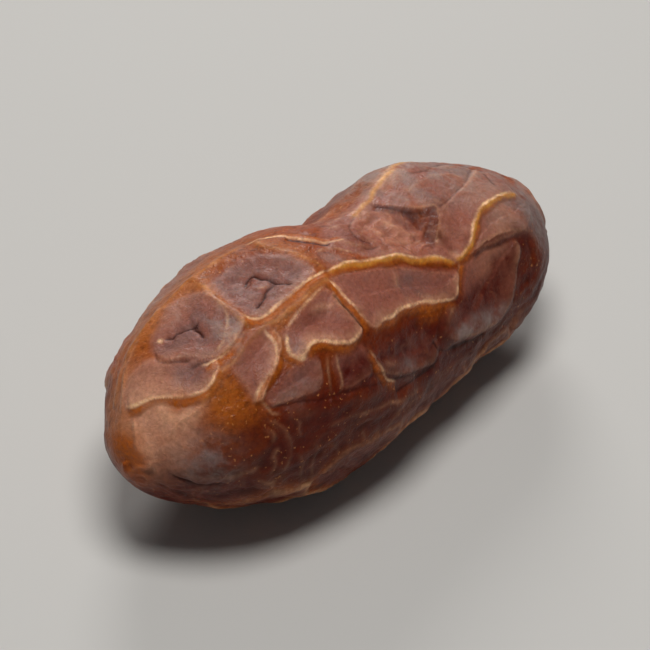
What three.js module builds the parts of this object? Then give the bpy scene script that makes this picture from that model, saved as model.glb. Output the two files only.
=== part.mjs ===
// A Piarom date: a long, dried, wrinkled fruit lying on its side, in millimetres.
// The fruit is one solid. Its skin has shrunk on to the flesh in sunken plates with raised folds
// between them. X runs along the fruit, from the rounded tip at -X to the stalk end at +X, and Z is up.
import * as THREE from "three";
import { mergeVertices } from "three/addons/utils/BufferGeometryUtils.js";
import { ImprovedNoise } from "three/addons/math/ImprovedNoise.js";

// Driving dimensions
const LENGTH = 44.2;
const WIDTH = 19.6;
const HEIGHT = 19.1;
const REST_PRESS = 0.6; // how far the underside has settled flat under the fruit's own weight

// Mesh: rings along the fruit and columns round it
const RINGS = 68;
const COLUMNS = 82;
const RING_CROWDING = 0.15; // brings the rings closer together in the middle, where the fruit is long
const COLUMN_CROWDING = 0.35; // brings the columns closer together on the side with the listed folds
const CROWDED_SIDE = 30; // degrees round, the middle of that side
const MERGE_WITHIN = 1e-4;

// Body outline from tip to stalk end. at runs from -1 to 1, and the rest are shares of WIDTH and HEIGHT:
// sideways and middle place the centre line, halfWidth and halfHeight are the section before the ends close.
const STATIONS = [
  { at: -1.0, sideways: 0, middle: 0.526, halfWidth: 0.376, halfHeight: 0.376 },
  { at: -0.7, sideways: 0, middle: 0.516, halfWidth: 0.46, halfHeight: 0.459 },
  { at: -0.45, sideways: 0, middle: 0.505, halfWidth: 0.485, halfHeight: 0.485 },
  { at: -0.22, sideways: 0, middle: 0.5, halfWidth: 0.5, halfHeight: 0.5 },
  { at: 0.05, sideways: 0, middle: 0.474, halfWidth: 0.465, halfHeight: 0.464 },
  { at: 0.3, sideways: -0.005, middle: 0.443, halfWidth: 0.416, halfHeight: 0.418 },
  { at: 0.55, sideways: -0.005, middle: 0.433, halfWidth: 0.411, halfHeight: 0.412 },
  { at: 0.8, sideways: 0, middle: 0.433, halfWidth: 0.421, halfHeight: 0.418 },
  { at: 1.0, sideways: 0, middle: 0.428, halfWidth: 0.406, halfHeight: 0.402 },
];
const TIP_BLUNTNESS = 3;
const STALK_END_BLUNTNESS = 3.3;
const CLOSING_POWER = 1 / 2.1;

// Folds of the skin, by kind: height, and half width of the gentle and of the steep side
const FOLD_KINDS = {
  ridge: { height: 0.6, gentle: 1.5, steep: 0.75 },
  band: { height: 0.32, gentle: 1.2, steep: 1.2 },
  lip: { height: 0.38, gentle: 1.2, steep: 0.65 },
  overhang: { height: 0.35, gentle: 1.8, steep: 0.7 },
  fold: { height: 0.32, gentle: 1, steep: 0.8 },
  furrow: { height: -0.38, gentle: 0.9, steep: 0.75 },
  crease: { height: -0.3, gentle: 0.6, steep: 0.6 },
};
const STEPS_PER_POINT = 3;

// Where the folds run: [mm along from the middle, degrees round from the top towards -Y].
// The steep side lies to the right of the way that a fold is listed.
const FOLDS = [
  // the long ridge over the middle plates, and on to the stalk end
  ["ridge", [-2.9, 15.5], [-0.5, 18], [2.2, 22.4], [4.3, 25.6], [6.2, 31.3], [7.8, 38], [8.7, 40.5]],
  ["ridge", [8.6, 38], [9.3, 40.5], [10.6, 37], [12.1, 30.3], [13.5, 25], [16, 22], [18.8, 25.5]],
  ["lip", [6.9, 58], [8, 49.5], [9.1, 42]],
  // lower lips of the two plates on top, with the rounded band under them
  ["lip", [-15.8, 17], [-15.1, 20], [-13.8, 20.5], [-12.6, 18.5], [-11.9, 15]],
  ["lip", [-10.9, 8], [-9.9, 17.3], [-6.4, 16.6], [-2.7, 15]],
  ["band", [-17.5, 36], [-14.5, 26], [-10.5, 21.5], [-5.5, 20.5], [-3, 18.5]],
  // frame of the four-sided plate on top, and the hollow behind it
  ["band", [-9.2, -32], [-10.1, -22], [-10.95, 2], [-10.9, 19]],
  ["band", [-2.9, -26], [-3.7, -9], [-3.3, 2], [-2.7, 15]],
  ["band", [-17.5, -40], [-15, -37], [-11.5, -33], [-8.5, -30], [-4.5, -27]],
  ["lip", [1.4, 3], [0, 1], [-1.4, -11], [-3, -23], [-4.5, -28]],
  ["furrow", [-2.2, -14], [-1.6, -8], [-0.2, 3]],
  // creases in the four-sided plate
  ["crease", [-8.2, -4.5], [-6.9, -6.5], [-6.7, 1], [-6.2, 9], [-6, 13]],
  ["crease", [-6.7, 5.5], [-8.2, 8.5], [-9.5, 11]],
  // plates towards the tip
  ["crease", [-15.3, -17.5], [-14.5, -12], [-13.8, -6], [-13.9, 4.5]],
  ["lip", [-20.3, -23], [-19.9, -7], [-19.1, 6.5], [-18.4, 17], [-17.6, 26], [-16.6, 30], [-15, 24.5]],
  ["fold", [-20.8, -26], [-19.5, -31], [-18, -34], [-14.8, -36]],
  // the two small plates left of the middle
  ["lip", [-9.2, 29.5], [-10, 39], [-9.3, 45.5]],
  ["lip", [-9.3, 43.5], [-8.2, 40.7], [-6.9, 45.5], [-5.6, 50.3], [-3.9, 47]],
  ["lip", [-14.3, 53.5], [-13.4, 45.5], [-11.1, 39.5], [-10.3, 29.5], [-10.4, 22.5]],
  // divider and lower lip of the long middle plate
  ["lip", [-3.4, 20], [-3.25, 34], [-2.95, 49.5]],
  ["lip", [-3, 49.3], [0.8, 49.6], [3.2, 51.8], [5.5, 57], [6.7, 60]],
  // plates under them
  ["fold", [-13, 64], [-9.8, 67], [-6.5, 68.5], [-4.8, 67]],
  ["fold", [-7.8, 50], [-8.1, 57], [-8.5, 66]],
  ["lip", [-4, 57], [-3.6, 69], [-2.2, 80]],
  ["furrow", [-8, 73], [-5, 75], [-2.5, 84], [3, 84]],
  ["fold", [6.4, 62], [3.9, 71], [5.2, 79.5], [8.8, 86], [10.9, 91.5]],
  ["furrow", [3, 72], [3.2, 79], [4.8, 84], [9, 91]],
  // the stalk end
  ["fold", [10.2, 42], [12.1, 42.5], [14.1, 44], [16.3, 51], [18, 63]],
  ["fold", [15.4, 49], [15.1, 62], [13.4, 73], [12.2, 81.5]],
  // the crumpled upper plate towards the stalk end
  ["overhang", [7.3, -8], [9.1, -1.5], [10.5, 8], [9.6, 18.5], [7.6, 29]],
  ["crease", [4.9, -13.5], [3.2, -5.5], [2.3, 5], [3.1, 11.5]],
  ["crease", [10.8, 12.5], [13.8, 9.5], [16.6, -3], [17.6, -11]],
  ["fold", [3.6, -22], [7.5, -27], [10.5, -27], [15, -38]],
  ["fold", [10.4, -22], [14.4, -15.5], [17.8, -4], [18.6, 4]],
  // long folds low on the near side
  ["fold", [-20.6, 80], [-19.4, 85], [-17.6, 86], [-14.2, 74]],
  ["fold", [-16, 101], [-13.5, 94], [-10.5, 88], [-3.5, 90], [0, 91]],
  ["fold", [-13, 110], [-9, 103], [-4, 99], [5, 104], [8, 110]],
];

// Plates sunk between the folds: middle as above, half lengths along and round in mm, and depth.
// The last two are the waist behind the top, and the swelling between it and the stalk end.
const HOLLOWS = [
  { along: -14, around: 0, halfAlong: 3, halfAround: 3.2, depth: 0.35 },
  { along: -18.2, around: 12, halfAlong: 2.2, halfAround: 2.4, depth: 0.25 },
  { along: -7, around: -3, halfAlong: 3, halfAround: 3, depth: 0.4 },
  { along: 2, around: 38, halfAlong: 4.4, halfAround: 1.9, depth: 0.45 },
  { along: -6.4, around: 34, halfAlong: 2.6, halfAround: 1.8, depth: 0.35 },
  { along: -12.6, around: 32, halfAlong: 1.8, halfAround: 1.6, depth: 0.25 },
  { along: -7, around: 58, halfAlong: 6, halfAround: 1.6, depth: 0.5 },
  { along: 0, around: 66, halfAlong: 3.4, halfAround: 2, depth: 0.45 },
  { along: 11.5, around: 62, halfAlong: 3.6, halfAround: 3, depth: 0.4 },
  { along: 5.5, around: 10, halfAlong: 4, halfAround: 2.6, depth: 0.3 },
  { along: 9.2, around: 12, halfAlong: 1.4, halfAround: 1.6, depth: 0.3 },
  { along: 12.5, around: 4, halfAlong: 3, halfAround: 3, depth: 0.25 },
  { along: -20.6, around: 45, halfAlong: 2.2, halfAround: 4.5, depth: 0.35 },
  { along: 2.8, around: -46, halfAlong: 2.2, halfAround: 4.5, depth: 0.8 },
  { along: 10.5, around: -40, halfAlong: 5, halfAround: 4.5, depth: -1.3 },
];

// The back and the underside carry the same kind of plates by rule: seeds on a spiral, edges half way between
const NET_CELLS = 70;
const NET_TURN = 137.508; // degrees from one seed to the next
const NET_NUDGE = 0.9; // how far a seed strays from its even place, in seeds
const NET_NUDGE_STEP = 12.9898; // radians of the sine that the nudges are taken from
const NET_END = 0.99; // no seed lies nearer the ends than this
const NET_STRETCH = 0.6; // under 1 draws the plates out along the fruit
const NET_BEND_SIZE = 10; // length of the waves in the plates' edges
const NET_BEND_REACH = 0.9;
const NET_BEND_STARTS = [0, 2, 4]; // where in the wave each direction starts, in radians
const NET_GAP = 0.16; // half the strip of bare skin between two plates
const NET_EDGE = 0.45; // over which an edge rises
const NET_STEP = 0.28; // how far a plate's lower edge stands up
const NET_SAG = 0.18; // how far its middle sags
const NET_SAG_REACH = 1.4; // over which it sags, in from the edge
const NET_RISE = 0.28; // height of the soft fold under all edges
const NET_RISE_HALF_WIDTH = 0.75;
const DOWNHILL_TURN = new THREE.Vector3(0.95, 0.3, 0); // downhill lies across this axis and the skin's normal
const LOWER_FROM = -0.6; // how far an edge faces downhill where it starts to be a lower edge
const LOWER_TO = 0.6;
const NET_FROM = 112; // degrees round, where the net has come in fully below the near side
const NET_TO = 303; // and where it starts to fade again behind the top
const NET_FADE = 18;
const NET_FLOOR_SHARE = 0.25; // what is left of all relief on the pressed underside
const NET_FLOOR_SPREAD = 32;

// The scar that the stalk's cap leaves: a raised ring round a small pit
const SCAR_RING_RADIUS = 2.7;
const SCAR_RING_HALF_WIDTH = 0.7;
const SCAR_RING_HEIGHT = 0.4;
const SCAR_PIT_RADIUS = 1.3;
const SCAR_PIT_DEPTH = 1.1;
const TIP_DIMPLE_RADIUS = 1;
const TIP_DIMPLE_DEPTH = 0.25;

// Slow unevenness of the whole surface
const SWELL_SIZE = 6.5;
const SWELL_HEIGHT = 0.45;

const SKIN_COLOUR = "#6b3a24";
const SKIN_ROUGHNESS = 0.42;

const halfLength = LENGTH / 2;
const degrees = THREE.MathUtils.degToRad;
const perlin = new ImprovedNoise();
const noiseAt = (point, size) => perlin.noise(point.x / size, point.y / size, point.z / size);

// A smooth curve through one column of the stations.
function station(at, column) {
  const last = STATIONS.length - 1;
  let i = 0;
  while (i < last - 1 && at > STATIONS[i + 1].at) i += 1;
  const value = (k) => STATIONS[THREE.MathUtils.clamp(k, 0, last)][column];
  const slope = (k) => {
    const before = STATIONS[Math.max(k - 1, 0)];
    const after = STATIONS[Math.min(k + 1, last)];
    return (after[column] - before[column]) / (after.at - before.at);
  };
  const step = STATIONS[i + 1].at - STATIONS[i].at;
  const t = (at - STATIONS[i].at) / step;
  const t2 = t * t;
  const t3 = t2 * t;
  return (
    (2 * t3 - 3 * t2 + 1) * value(i) +
    (t3 - 2 * t2 + t) * step * slope(i) +
    (3 * t2 - 2 * t3) * value(i + 1) +
    (t3 - t2) * step * slope(i + 1)
  );
}

// A point of the smooth body: at from -1 to 1 along it, around in radians from the top towards -Y.
function bodyPoint(at, around) {
  const bluntness = at < 0 ? TIP_BLUNTNESS : STALK_END_BLUNTNESS;
  const closing = Math.max(0, 1 - Math.abs(at) ** bluntness) ** CLOSING_POWER;
  return new THREE.Vector3(
    at * halfLength,
    WIDTH * (station(at, "sideways") - station(at, "halfWidth") * closing * Math.sin(around)),
    HEIGHT * (station(at, "middle") + station(at, "halfHeight") * closing * Math.cos(around)),
  );
}

const onBody = ([along, around]) => bodyPoint(along / halfLength, degrees(around));

// The body's mesh: a sphere whose poles lie on X, drawn out to the body, with its seam and poles closed.
function bodyMesh() {
  const sphere = new THREE.SphereGeometry(1, COLUMNS, RINGS);
  const position = sphere.getAttribute("position");
  for (let i = 0; i < position.count; i += 1) {
    const polar = Math.acos(THREE.MathUtils.clamp(position.getY(i), -1, 1));
    const at = Math.cos(polar + RING_CROWDING * Math.sin(2 * polar));
    const even = Math.atan2(-position.getZ(i), position.getX(i));
    const around = even - COLUMN_CROWDING * Math.sin(even - degrees(CROWDED_SIDE));
    const point = bodyPoint(at, around);
    position.setXYZ(i, point.x, point.y, point.z);
  }
  sphere.deleteAttribute("normal");
  sphere.deleteAttribute("uv");
  const merged = mergeVertices(sphere, MERGE_WITHIN);
  merged.computeVertexNormals();
  return merged;
}

// Each listed fold as the straight steps of a smooth curve that lies on the body.
function foldSteps([kind, ...points]) {
  const curve = new THREE.CatmullRomCurve3(points.map(onBody), false, "centripetal");
  const steps = curve.getPoints((points.length - 1) * STEPS_PER_POINT);
  const lines = steps.slice(1).map((end, i) => new THREE.Line3(steps[i], end));
  return { ...FOLD_KINDS[kind], lines };
}

// A rounded crest with hollow flanks: 1 on the line, about a third one half width away.
const crestProfile = (share) => (1 + share * share) ** -1.5;

// The height that one fold gives a point: less wide on its steep side, which lies on its right.
function foldHeight(fold, point, normal) {
  let nearest = Infinity;
  let side = 0;
  const foot = new THREE.Vector3();
  const away = new THREE.Vector3();
  const run = new THREE.Vector3();
  for (const line of fold.lines) {
    line.closestPointToPoint(point, true, foot);
    const distance = foot.distanceTo(point);
    if (distance >= nearest) continue;
    nearest = distance;
    away.subVectors(point, foot);
    line.delta(run);
    side = run.cross(normal).dot(away);
  }
  return fold.height * crestProfile(nearest / (side > 0 ? fold.steep : fold.gentle));
}

// All listed folds at a point. Crests that meet don't pile up, and furrows cut into what is there.
function foldsHeight(folds, point, normal) {
  let raised = 0;
  let sunk = 0;
  for (const fold of folds) {
    const height = foldHeight(fold, point, normal);
    if (height > 0) raised += height ** 3;
    else sunk += height;
  }
  return Math.cbrt(raised) + sunk;
}

// The sunken plates at a point.
function hollowsHeight(point) {
  let sunk = 0;
  for (const { middle, halfAlong, halfAround, depth } of hollows) {
    const along = (point.x - middle.x) / halfAlong;
    const round = Math.hypot(point.y - middle.y, point.z - middle.z) / halfAround;
    sunk += depth * Math.exp(-(along * along + round * round));
  }
  return -sunk;
}

// The seeds of the net: an even spiral over the whole body, each nudged a little by a fixed rule.
function netSeeds() {
  return Array.from({ length: NET_CELLS }, (_, i) => {
    const nudge = NET_NUDGE * Math.sin(i * NET_NUDGE_STEP);
    const at = -1 + (2 * (i + 0.5 + nudge)) / NET_CELLS;
    return bodyPoint(THREE.MathUtils.clamp(at, -NET_END, NET_END), degrees(i * NET_TURN));
  });
}

// How much of the net shows at an angle in degrees: all of it behind and below, none on the listed side.
function netShare(around) {
  const turned = THREE.MathUtils.euclideanModulo(around, 360);
  const risen = THREE.MathUtils.smoothstep(turned, NET_FROM - NET_FADE, NET_FROM);
  const fallen = THREE.MathUtils.smoothstep(turned, NET_TO, NET_TO + NET_FADE);
  return risen * (1 - fallen);
}

// How far the net's edges stray at a point.
function netBend(point) {
  const places = [point.y, point.z, point.x];
  const turns = places.map((place, i) => (place * 2 * Math.PI) / NET_BEND_SIZE + NET_BEND_STARTS[i]);
  return new THREE.Vector3(...turns.map(Math.sin)).multiplyScalar(NET_BEND_REACH);
}

// The net's relief at a point, from the two nearest seeds. A plate stands up at its lower edge and sags in
// the middle, and a soft fold runs under the edges where two plates meet.
function netHeight(point, normal) {
  const strayed = netBend(point).add(point);
  let nearest = { distance: Infinity };
  let next = nearest;
  for (const seed of seeds) {
    const distance = Math.hypot((strayed.x - seed.x) * NET_STRETCH, strayed.y - seed.y, strayed.z - seed.z);
    if (distance < nearest.distance) [nearest, next] = [{ seed, distance }, nearest];
    else if (distance < next.distance) next = { seed, distance };
  }
  const inward = (next.distance - nearest.distance) / 2 - NET_GAP;
  const outward = new THREE.Vector3().subVectors(next.seed, nearest.seed).normalize();
  const downhill = new THREE.Vector3().crossVectors(normal, DOWNHILL_TURN);
  const lower = THREE.MathUtils.smoothstep(outward.dot(downhill), LOWER_FROM, LOWER_TO);
  const edge = THREE.MathUtils.smoothstep(inward, -NET_EDGE, NET_EDGE);
  const sag = THREE.MathUtils.smoothstep(inward, 0, NET_SAG_REACH);
  return NET_STEP * lower * edge - NET_SAG * sag + NET_RISE * crestProfile(inward / NET_RISE_HALF_WIDTH);
}

// The two ends: the ring and pit of the stalk scar, and the dimple at the tip.
function endsHeight(point) {
  const fromAxis = Math.hypot(point.y - scarMiddle.y, point.z - scarMiddle.z);
  if (point.x > 0) {
    const ring = SCAR_RING_HEIGHT * crestProfile((fromAxis - SCAR_RING_RADIUS) / SCAR_RING_HALF_WIDTH);
    return ring - SCAR_PIT_DEPTH * Math.exp(-((fromAxis / SCAR_PIT_RADIUS) ** 2));
  }
  const fromTip = Math.hypot(point.y - tipMiddle.y, point.z - tipMiddle.z);
  return -TIP_DIMPLE_DEPTH * Math.exp(-((fromTip / TIP_DIMPLE_RADIUS) ** 2));
}

// The whole relief at a point of the smooth body, fading out where the fruit is pressed flat.
function relief(point, normal) {
  const around = THREE.MathUtils.radToDeg(Math.atan2(-normal.y, normal.z));
  const height =
    SWELL_HEIGHT * noiseAt(point, SWELL_SIZE) +
    foldsHeight(folds, point, normal) +
    hollowsHeight(point) +
    netShare(around) * netHeight(point, normal) +
    endsHeight(point);
  const fromBottom = Math.abs(THREE.MathUtils.euclideanModulo(around, 360) - 180);
  const pressed = Math.exp(-((fromBottom / NET_FLOOR_SPREAD) ** 2));
  return height * THREE.MathUtils.lerp(1, NET_FLOOR_SHARE, pressed);
}

// The fruit: the body with its relief, settled flat underneath and stood on the origin.
function fruitGeometry() {
  const geometry = bodyMesh();
  const position = geometry.getAttribute("position");
  const normals = geometry.getAttribute("normal").clone();
  const point = new THREE.Vector3();
  const normal = new THREE.Vector3();
  for (let i = 0; i < position.count; i += 1) {
    point.fromBufferAttribute(position, i);
    normal.fromBufferAttribute(normals, i);
    point.addScaledVector(normal, relief(point, normal));
    position.setXYZ(i, point.x, point.y, point.z);
  }
  geometry.computeBoundingBox();
  const floor = geometry.boundingBox.min.z + REST_PRESS;
  for (let i = 0; i < position.count; i += 1) {
    position.setZ(i, Math.max(position.getZ(i), floor));
  }
  geometry.computeBoundingBox();
  const middle = geometry.boundingBox.getCenter(new THREE.Vector3());
  geometry.translate(-middle.x, -middle.y, -floor);
  geometry.computeVertexNormals();
  return geometry;
}

const folds = FOLDS.map(foldSteps);
const hollows = HOLLOWS.map((hollow) => ({ ...hollow, middle: onBody([hollow.along, hollow.around]) }));
const seeds = netSeeds();
const scarMiddle = bodyPoint(1, 0);
const tipMiddle = bodyPoint(-1, 0);

const skin = new THREE.MeshStandardMaterial({
  color: SKIN_COLOUR,
  roughness: SKIN_ROUGHNESS,
  metalness: 0,
});
const date = new THREE.Mesh(fruitGeometry(), skin);
date.name = "date";

const fruit = new THREE.Group();
fruit.add(date);

export default fruit;
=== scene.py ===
"""A Piarom date: a long, dried, wrinkled fruit lying on its side.

The skin has shrunk on to the flesh. It lies in sunken plates, and between the plates it stands in
folds, each with a gentle upper side, a thin pale crest and a steep, translucent lower flank.
"""
import math
from functools import partial

import bmesh
import bpy
import numpy as np
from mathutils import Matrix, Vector, noise


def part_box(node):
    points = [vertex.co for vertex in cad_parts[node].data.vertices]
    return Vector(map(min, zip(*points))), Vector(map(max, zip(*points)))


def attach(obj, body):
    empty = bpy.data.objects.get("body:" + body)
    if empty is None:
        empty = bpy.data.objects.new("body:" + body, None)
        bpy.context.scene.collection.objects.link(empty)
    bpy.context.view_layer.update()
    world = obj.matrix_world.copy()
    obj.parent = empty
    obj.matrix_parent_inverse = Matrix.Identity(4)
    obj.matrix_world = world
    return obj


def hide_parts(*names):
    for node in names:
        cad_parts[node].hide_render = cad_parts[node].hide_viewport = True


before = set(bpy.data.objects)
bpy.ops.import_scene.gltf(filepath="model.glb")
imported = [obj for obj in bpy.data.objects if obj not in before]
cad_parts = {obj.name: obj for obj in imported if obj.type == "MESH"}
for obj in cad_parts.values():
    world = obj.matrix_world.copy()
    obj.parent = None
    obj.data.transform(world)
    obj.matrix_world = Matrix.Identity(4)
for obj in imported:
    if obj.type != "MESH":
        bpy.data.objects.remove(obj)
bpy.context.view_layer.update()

bl_info = {
    "name": "Piarom date",
    "version": (1, 0, 0),
    "blender": (4, 5, 0),
    "location": "3D View > Sidebar > Date",
    "description": "Models a dried Piarom date and the stage it is shown on",
    "category": "Object",
}

MM = 0.001
TINY = 1e-3  # mm, keeps a division from zero
BOX_LOW, BOX_HIGH = (np.array(corner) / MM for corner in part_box("date"))

# The smooth body's share of the fruit's box. The folds make up the rest, and settling takes some
# off the height.
BODY_SHARE = (0.992, 0.963, 1.0195)
LENGTH, WIDTH, HEIGHT = (BOX_HIGH - BOX_LOW) * BODY_SHARE
REST_PRESS = 0.6  # mm that the underside has settled flat under the fruit's own weight

# Mesh of the skin: rings along the fruit and columns round it, closer together along its middle
# and on the side with the listed folds
RINGS = 410
COLUMNS = 242
RING_CROWDING = 0.15
COLUMN_CROWDING = 0.55
CROWDED_SIDE = 30  # degrees round

# Body outline from tip to stalk end: at from -1 to 1, then the centre line's place sideways and up,
# and the section's half width and half height before the ends close, in shares of width and height
STATIONS = np.array([
    (-1.0, 0, 0.526, 0.376, 0.376),
    (-0.7, 0, 0.516, 0.46, 0.459),
    (-0.45, 0, 0.505, 0.485, 0.485),
    (-0.22, 0, 0.5, 0.5, 0.5),
    (0.05, 0, 0.474, 0.465, 0.464),
    (0.3, -0.005, 0.443, 0.416, 0.418),
    (0.55, -0.005, 0.433, 0.411, 0.412),
    (0.8, 0, 0.433, 0.421, 0.418),
    (1.0, 0, 0.428, 0.406, 0.402),
])
TIP_BLUNTNESS = 3.0
STALK_END_BLUNTNESS = 3.3
CLOSING_POWER = 1 / 2.1

# Kinds of fold: height, half width of the gentle and of the steep side, how pale a line runs on
# the crest, how much the whole fold pales (both partly painted highlight), how golden it is, then
# how wide a band of another colour shows under the steep side, and which: painted glow of light
# through the skin, or painted shade. Sizes are in mm.
FOLD_KINDS = {
    "ridge": (0.2, 1.2, 0.26, 1.1, 0.3, 0.9, 0.6, "flank"),
    "band": (0.2, 0.6, 0.6, 0.05, 0.35, 0.15, 0.0, ""),
    "lip": (0.05, 0.45, 0.28, 0.9, 0.15, 0.0, 0.6, "flank"),
    # an overhang has painted shadow under its steep side
    "overhang": (0.16, 1.4, 0.45, 0.15, 0.3, 0.0, 0.6, "deep"),
    "thread": (0.06, 0.22, 0.2, 0.4, 0.2, 0.0, 0.0, ""),
    "wisp": (0.08, 0.35, 0.3, 0.05, 0.55, 0.0, 0.0, ""),
    "strand": (0.12, 0.26, 0.2, 0.1, 0.55, 0.0, 0.0, ""),
    "streak": (0.2, 0.8, 0.7, 0.3, 1.5, 0.65, 0.0, ""),
    "fold": (0.18, 0.9, 0.6, 0.0, 0.2, 0.0, 0.0, ""),
    "crease": (-0.22, 0.18, 0.18, 0.0, 0.0, 0.0, 0.0, ""),
    "crack": (-0.12, 0.13, 0.13, 0.0, 0.0, 0.0, 0.0, ""),
    "furrow": (-0.22, 0.5, 0.4, 0.0, 0.0, 0.0, 0.0, ""),
    "dent": (-0.1, 0.3, 0.3, 0.0, 0.0, 0.0, 0.0, ""),
}
LINE_STEP = 0.4  # mm between the points of a smoothed line
FOLD_REACH = 4.5  # mm, beyond which a fold or plate has no effect
FOLD_TAPER = 0.8  # mm over which a fold runs out at its ends, and next the same for a crease
CREASE_TAPER = 0.3
TAPER_START = -0.1  # a little past the end, so that a fold isn't quite gone there
FOLD_UNEVEN = (1.8, 0.35)  # size of the unevenness along a fold, and its share of the height
DARK_CREASE = 0.22  # how deep a crease is whose painted shade is as dark as can be
CREST_PATCHES = ((1.1, 0.7), (3.5, 0.9))  # sizes of the patches where a crest pales, and how much
CREST_SHARE = 0.65  # how pale it is on the whole, and next its least and most
CREST_LIMITS = (0.2, 1.15)
CREST_PLACE = -0.1  # to the gentle side of a fold's line, and GOLD_PLACE to the steep side
GOLD_PLACE = 0.1
GOLD_WAVER = (1.3, 0.16)  # size and reach of its straying
LINE_REACH = 0.38  # how far from a line of colour its strength still counts
BAND_EDGE = 0.12  # over which the band of painted glow or painted shade comes in at a fold's line
BAND_FADE = (0.45, 1.35)  # from where to where it fades out again, in shares of its width
FOOT_HALF_WIDTH = 0.16  # of the painted shade line at the foot of a steep side
FOOT_SHADE = 0.35
FOOT_DEPTH = 0.06  # how far the skin is drawn in there

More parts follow.
